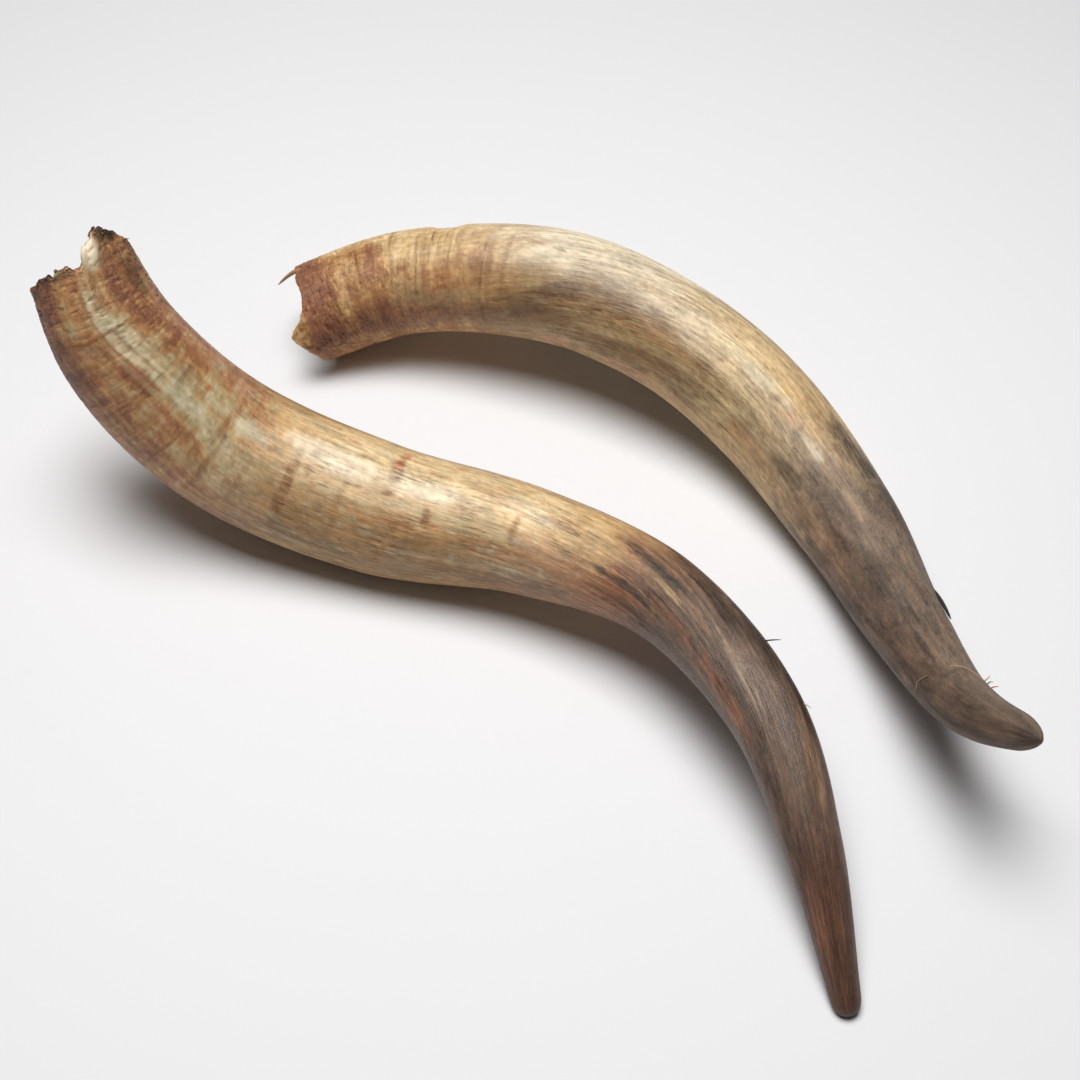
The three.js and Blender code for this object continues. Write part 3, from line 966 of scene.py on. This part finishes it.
def horn_finish(horn):
    """Horn: the sheath's tone, stained along the fine grain."""
    look = LOOKS[horn.facts["node"]]
    material = bpy.data.materials.new(horn.facts["node"])
    material.use_nodes = True
    tree = material.node_tree
    shader = tree.nodes["Principled BSDF"]
    g = Graph(tree)
    tone = g.add("ShaderNodeAttribute", {}, attribute_name="tone")
    grain = g.add("ShaderNodeAttribute", {}, 1, attribute_name="grain")
    fibre, scored, gritty = g.split(g.add("ShaderNodeAttribute", {}, 1, attribute_name="wear"))
    gritty = g.shows(g.add("ShaderNodeRGBToBW", {0: tone}), RUSTY, gritty)

    streak = g.noise(grain, FINE_STREAKS)
    dash = g.noise(grain, FINE_DASHES)
    speck = g.noise(grain, FINE_SPECKS)
    line = g.noise(grain, FINE_LINES)
    crack = g.math("ABSOLUTE", g.centred(g.noise(grain, FINE_CRACKS)))
    patch = g.noise(grain, FIBRE_PATCHES)
    fibred = g.math("MULTIPLY", g.spread(patch, *FIBRE_HOLD), fibre)
    scratched = g.math("MULTIPLY", g.spread(patch, *LINE_HOLD), scored)
    colour = g.mix(g.shows(streak, STREAK_STAIN, fibred), tone, STAIN, "MULTIPLY")
    colour = g.mix(g.shows(dash, DASH_STAIN, fibred), colour, STAIN, "MULTIPLY")
    colour = g.mix(g.shows(streak, STREAK_LIGHT, fibre), colour, g.scaled(colour, STREAK_BRIGHTENING))
    colour = g.mix(g.shows(line, LINE_STAIN, scratched), colour, STAIN, "MULTIPLY")
    colour = g.mix(g.shows(speck, GRIT_STAIN, gritty), colour, STAIN, "MULTIPLY")
    colour = g.mix(g.shows(speck, GRIT_GLINT, gritty), colour, STRAW)
    colour = g.mix(g.shows(crack, CRACK_STAIN, gritty), colour, STAIN, "MULTIPLY")
    tree.links.new(colour, shader.inputs["Base Color"])

    height = g.math("MULTIPLY_ADD", streak, STREAK_HEIGHT, g.math("MULTIPLY", dash, DASH_HEIGHT))
    height = g.math("MULTIPLY", height, fibre)
    height = g.math("MULTIPLY_ADD", speck, gritty, height)
    height = g.math("MULTIPLY_ADD", line, scored, height)
    values = {"Height": height, "Strength": GRAIN_STRENGTH, "Distance": GRAIN_HEIGHT}
    tree.links.new(g.add("ShaderNodeBump", values), shader.inputs["Normal"])
    s = g.math("MULTIPLY", g.split(grain)[2], 1 / MM)
    rough = g.math("MULTIPLY_ADD", g.centred(streak), STREAK_ROUGHNESS, along(g, s, look["rough"]))
    tree.links.new(rough, shader.inputs["Roughness"])
    shader.inputs["Specular IOR Level"].default_value = HORN_SHEEN
    return material


def strand_finish():
    """Loose fibres, in the tone of each."""
    material = bpy.data.materials.new("loose_fibre")
    material.use_nodes = True
    shader = material.node_tree.nodes["Principled BSDF"]
    tone = Graph(material.node_tree).add("ShaderNodeAttribute", {}, attribute_name="tone")
    material.node_tree.links.new(tone, shader.inputs["Base Color"])
    shader.inputs["Roughness"].default_value = STRAND_ROUGHNESS
    return material


# Crumbs and loose fibres

# Crumbs for each square metre of the broken rim and of the base, their sizes in millimetres, and how
# far from the rim and along the base they lie.
CRUMBS = {
    "front_horn": {
        "Rim Count": 260000.0, "Rim Reach": 8.0, "Rim Size": 1.0,
        "Base Count": 15000.0, "Base Reach": 130.0, "Base Size": 0.6, "Seed": 5,
    },
    "back_horn": {
        "Rim Count": 60000.0, "Rim Reach": 4.0, "Rim Size": 0.5,
        "Base Count": 22000.0, "Base Reach": 115.0, "Base Size": 0.8, "Seed": 8,
    },
}

# How much crumbs vary in tone and size, and their breadth and thickness beside their length. None lie in
# the hollow or on the palest horn.
CRUMB_TONES = (0.65, 1.5)
CRUMB_SIZES = (0.4, 1.0)
CRUMB_TONE_SEED = 3
CRUMB_SIZE_SEED = 4
CRUMB_BREADTH = 0.8
CRUMB_THICKNESS = 0.45
CRUMBS_OUTSIDE = Show(0.9, 0.1)
CRUMBS_OFF_PALE = Show(0.5, 0.3)

# A loose fibre: its tone, then at each of its points the length along the horn, the angle round it, the
# lift off it and the half thickness.
Strand = namedtuple("Strand", "tone points")
STRANDS = {
    "front_horn": (
        Strand(SOOT, ((531, -59, -0.5, 0.5), (532, -63, 2.2, 0.45), (533, -66, 4.6, 0.35),
                      (534, -69, 7.0, 0.15))),
        Strand(STONE, ((572, -53, -0.5, 0.35), (574, -56, 1.5, 0.25), (576, -58, 2.6, 0.12))),
        Strand(UMBER, ((14, -46, -0.5, 0.3), (14, -52, 1.5, 0.25), (15, -57, 3.0, 0.12))),
    ),
    "back_horn": (
        Strand(DUN, ((28, -17, -0.9, 1.2), (20, -18, 0.0, 1.5), (14, -19, -1.2, 1.2),
                     (8, -20, -3.4, 0.8), (4, -21, -5.2, 0.2))),
        Strand(SOOT, ((533, -62, -0.6, 0.6), (541, -63, 0.3, 1.1), (550, -63, 0.6, 1.2),
                      (558, -61, 0.7, 0.9), (564, -58, 0.9, 0.3))),
        Strand(STONE, ((608, 99, 0.1, 0.25), (611, 86, 0.3, 0.3), (611, 72, 0.4, 0.3),
                       (614, 58, 0.5, 0.3), (616, 48, 0.3, 0.2))),
        Strand(STONE, ((620, 9, 0.1, 0.2), (621, 0, 0.3, 0.3), (624, -19, 0.3, 0.3),
                       (630, -35, 0.4, 0.3), (637, -48, 0.8, 0.3))),
        Strand(ROSE, ((634, -50, -0.5, 0.5), (633, -54, 2.2, 0.4), (631, -57, 4.4, 0.2))),
        Strand(BLOOD, ((645, -48, -0.5, 0.5), (646, -52, 2.2, 0.4), (648, -55, 4.0, 0.2))),
        Strand(TAUPE, ((640, -49, -0.5, 0.5), (638, -53, 2.0, 0.4), (639, -56, 3.6, 0.2))),
    ),
}
STRAND_STEPS = 6
STRAND_SIZES = {"Sides": 6}


def crumb_tree(sizes):
    """Crumbs strewn on a sheath, thick on its broken rim and thin on its base, in the sheath's tones."""
    tree, g, given = geometry_tree("crumbs", sizes)

    def chance(span, seed):
        return g.add("FunctionNodeRandomValue", {2: span[0], 3: span[1], 8: seed}, 1, data_type="FLOAT")

    tone = g.read("tone", "FLOAT_COLOR")
    s = g.math("MULTIPLY", g.split(g.read("lie", "FLOAT_VECTOR"))[2], 1 / MM)
    on_rim = g.step(g.read("from_rim"), given["Rim Reach"], 0.0)
    on_base = g.step(s, given["Base Reach"], FULL_SCALES)
    bright = g.add("ShaderNodeVectorMath", {0: tone, 1: LUMINANCE}, 1, operation="DOT_PRODUCT")
    count = g.math("MULTIPLY", on_base, given["Base Count"])
    count = g.math("MULTIPLY_ADD", on_rim, given["Rim Count"], count)
    count = g.shows(g.read("layer"), CRUMBS_OUTSIDE, count)
    count = g.shows(bright, CRUMBS_OFF_PALE, count)
    values = {"Mesh": given["Piece"], "Density": count, "Seed": given["Seed"]}
    points = g.add("GeometryNodeDistributePointsOnFaces", values, distribute_method="RANDOM")
    varied = g.scaled(tone, chance(CRUMB_TONES, CRUMB_TONE_SEED))
    toned = g.store(points, "tone", varied, "FLOAT_COLOR")

    size = g.math("ADD", given["Base Size"], g.math("MULTIPLY", on_rim, given["Rim Size"]))
    size = g.math("MULTIPLY", size, chance(CRUMB_SIZES, CRUMB_SIZE_SEED))
    breadth = g.math("MULTIPLY", size, CRUMB_BREADTH)
    thickness = g.math("MULTIPLY", size, CRUMB_THICKNESS)
    shape = g.add("ShaderNodeCombineXYZ", {0: size, 1: breadth, 2: thickness})
    crumb = g.add("GeometryNodeMeshIcoSphere", {"Radius": MM, "Subdivisions": 1})
    turned = points.node.outputs["Rotation"]
    values = {"Points": toned, "Instance": crumb, "Rotation": turned, "Scale": shape}
    finish_tree(g, g.add("GeometryNodeInstanceOnPoints", values), given["Finish"])
    return tree


def strand_tree(sizes):
    """Round fibres along the lines of a mesh, as thick as each point says."""
    tree, g, given = geometry_tree("strands", sizes)
    line = g.add("GeometryNodeMeshToCurve", {"Mesh": given["Piece"]})
    circle = g.add("GeometryNodeCurvePrimitiveCircle", {"Resolution": given["Sides"], "Radius": MM})
    values = {"Curve": line, "Profile Curve": circle, "Scale": g.read("thick"), "Fill Caps": True}
    finish_tree(g, g.add("GeometryNodeCurveToMesh", values), given["Finish"])
    return tree


def strand_mesh(horn, strands):
    """The middle lines of a horn's loose fibres, smooth through their points."""
    points, lines, thick, tones = [], [], [], []
    for strand in strands:
        rows = len(strand.points)
        fine = smooth_through(strand.points, np.linspace(0, rows - 1, (rows - 1) * STRAND_STEPS + 1))
        lines += [(len(points) + i, len(points) + i + 1) for i in range(len(fine) - 1)]
        points += horn.point(fine[:, 0], fine[:, 1], lift=fine[:, 2]).tolist()
        thick += fine[:, 3].tolist()
        tones += [strand.tone] * len(fine)
    mesh = bpy.data.meshes.new(horn.facts["node"] + "_strands")
    mesh.from_pydata(points, lines, [])
    stored = mesh.attributes.new("thick", "FLOAT", "POINT")
    stored.data.foreach_set("value", np.array(thick, "f"))
    stored = mesh.attributes.new("tone", "FLOAT_COLOR", "POINT")
    stored.data.foreach_set("color", np.array(tones, "f").ravel())
    return mesh


# The studio

def floor_finish():
    """A matt, nearly white floor."""
    material = bpy.data.materials.new("pale_floor")
    material.use_nodes = True
    shader = material.node_tree.nodes["Principled BSDF"]
    shader.inputs["Base Color"].default_value = FLOOR_TONE
    shader.inputs["Roughness"].default_value = FLOOR_ROUGHNESS
    return material


def build_studio():
    """The floor, the softbox and the faint light from all round."""
    half = FLOOR_SIZE / 2
    mesh = bpy.data.meshes.new("floor")
    corners = [(-half, -half, 0), (half, -half, 0), (half, half, 0), (-half, half, 0)]
    mesh.from_pydata(corners, [], [(0, 1, 2, 3)])
    floor = shown("floor", mesh)
    mesh.materials.append(floor_finish())

    softbox = bpy.data.lights.new("softbox", "AREA")
    softbox.size = SOFTBOX_SIZE
    softbox.energy = SOFTBOX_POWER
    softbox.spread = SOFTBOX_SPREAD
    lamp = bpy.data.objects.new("softbox", softbox)
    lamp.location = SOFTBOX_PLACE
    lamp.rotation_euler = (SOFTBOX_AIM - SOFTBOX_PLACE).to_track_quat("-Z", "Y").to_euler()
    bpy.context.scene.collection.objects.link(lamp)

    world = bpy.data.worlds.new("studio")
    world.use_nodes = True
    sky = world.node_tree.nodes["Background"]
    sky.inputs["Strength"].default_value = SKY_STRENGTH
    sky.inputs["Color"].default_value = SKY_TONE
    bpy.context.scene.world = world
    bpy.context.scene.view_settings.view_transform = "Standard"


def build_camera():
    """The camera, in front of the pair and aimed at the floor."""
    lens = bpy.data.cameras.new("camera")
    lens.lens = CAMERA_LENS
    lens.clip_end = CAMERA_REACH
    camera = bpy.data.objects.new("camera", lens)
    back = Vector((0, -math.cos(CAMERA_ELEVATION), math.sin(CAMERA_ELEVATION)))
    camera.location = CAMERA_AIM + back * CAMERA_DISTANCE
    camera.rotation_euler = (math.pi / 2 - CAMERA_ELEVATION, 0, 0)
    bpy.context.scene.collection.objects.link(camera)
    bpy.context.scene.camera = camera


# Assembly

def build_horn(facts):
    """A horn's sheath, its crumbs and its loose fibres, all riding on the pair's one body."""
    horn = Horn(facts)
    node = facts["node"]
    finish = horn_finish(horn)
    sheath = shown(node + "_sheath", sheath_mesh(horn))
    baked(sheath, relief_tree(horn, RELIEF[node]), finish, RELIEF[node])
    crumbs = shown(node + "_crumbs", sheath.data.copy())
    baked(crumbs, crumb_tree(CRUMBS[node]), finish, CRUMBS[node])
    strands = shown(node + "_strands", strand_mesh(horn, STRANDS[node]))
    baked(strands, strand_tree(STRAND_SIZES), strand_finish(), STRAND_SIZES)
    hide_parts(node)
    for piece in (sheath, crumbs, strands):
        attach(piece, "root")


build_camera()
build_studio()
for facts in (FRONT, BACK):
    build_horn(facts)
